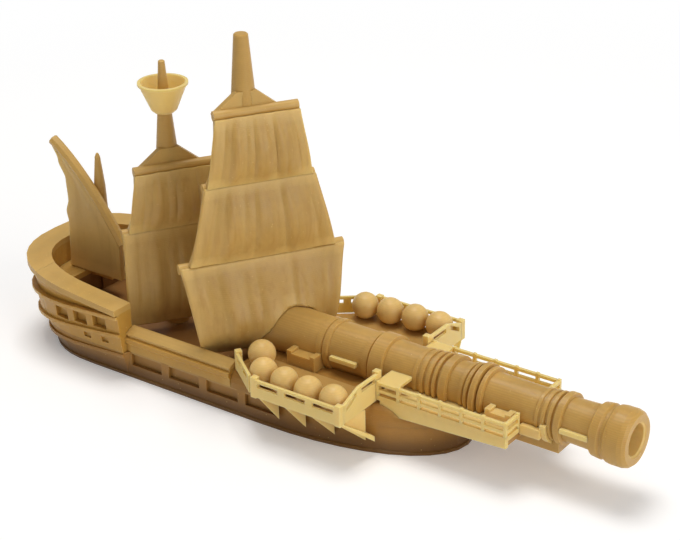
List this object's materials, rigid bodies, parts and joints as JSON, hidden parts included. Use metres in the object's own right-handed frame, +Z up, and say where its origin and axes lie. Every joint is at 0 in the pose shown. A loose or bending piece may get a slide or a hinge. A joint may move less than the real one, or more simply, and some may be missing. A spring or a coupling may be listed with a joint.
{
  "type": "sailing-ship game token",
  "caption": "Small resin game token: a three-masted sailing ship whose bow is one great banded cannon between walkways and ball galleries, standing on a flat waterline base.",
  "frame": {"origin": "on the flat base, under the fore mast's axis", "axes": "+X to the bow and muzzle, +Y to port, +Z up the masts"},
  "size_m": [0.089, 0.027, 0.0458],
  "materials": {
    "resin": "satin amber resin",
    "resin_sail": "satin amber resin, mid thickness",
    "resin_thin": "satin amber resin, thin and paler"
  },
  "bodies": {
    "hull_assembly": {"hull": "resin", "main_deck": "resin", "forecastle": "resin", "bow_cheek_port": "resin", "bow_cheek_starboard": "resin", "bow_beam": "resin", "barrel_straps": "resin_thin", "cannon_barrel": "resin", "barrel_lugs": "resin_thin", "cradle_chocks_aft": "resin", "cradle_chocks_fore": "resin", "castle_side_port": "resin", "castle_side_starboard": "resin", "castle_transom": "resin", "cabin_bulkhead": "resin", "quarterdeck": "resin", "stern_rail_port": "resin_thin", "stern_rail_starboard": "resin_thin", "stern_rail_aft": "resin_thin", "bulwark_port": "resin", "bulwark_starboard": "resin", "cap_rail_port": "resin_thin", "cap_rail_starboard": "resin_thin", "gallery_floor_port": "resin_thin", "gallery_floor_starboard": "resin_thin", "gallery_aft_rail_port": "resin_thin", "gallery_aft_rail_starboard": "resin_thin", "gallery_side_rail_port": "resin_thin", "gallery_side_rail_starboard": "resin_thin", "gallery_fore_rail_port": "resin_thin", "gallery_fore_rail_starboard": "resin_thin", "gallery_knees_port": "resin_thin", "gallery_knees_starboard": "resin_thin", "cannonballs_port": "resin", "cannonballs_starboard": "resin", "walkway_port": "resin_thin", "walkway_starboard": "resin_thin", "walkway_rail_port": "resin_thin", "walkway_rail_starboard": "resin_thin"},
    "fore_rig": {"fore_mast": "resin_sail", "fore_topgallant_yard": "resin_sail", "fore_topsail_yard": "resin_sail", "fore_course_yard": "resin_sail", "fore_topgallant": "resin_sail", "fore_topsail": "resin_sail", "fore_course": "resin_sail"},
    "main_rig": {"main_mast": "resin_sail", "crow_nest": "resin_thin", "main_topsail_yard": "resin_sail", "main_course_yard": "resin_sail", "main_topsail": "resin_sail", "main_course": "resin_sail"},
    "mizzen_rig": {"mizzen_mast": "resin_sail", "lateen_yard": "resin_sail", "lateen_sail": "resin_sail"}
  },
  "joints": [
    {"name": "fore_rig_lift", "type": "slide", "parent": "hull_assembly", "child": "fore_rig", "axis": [0, 0, 1], "range_m": [0, 0.012]},
    {"name": "main_rig_lift", "type": "slide", "parent": "hull_assembly", "child": "main_rig", "axis": [0, 0, 1], "range_m": [0, 0.012]},
    {"name": "mizzen_rig_lift", "type": "slide", "parent": "hull_assembly", "child": "mizzen_rig", "axis": [0, 0, 1], "range_m": [0, 0.012]}
  ]
}
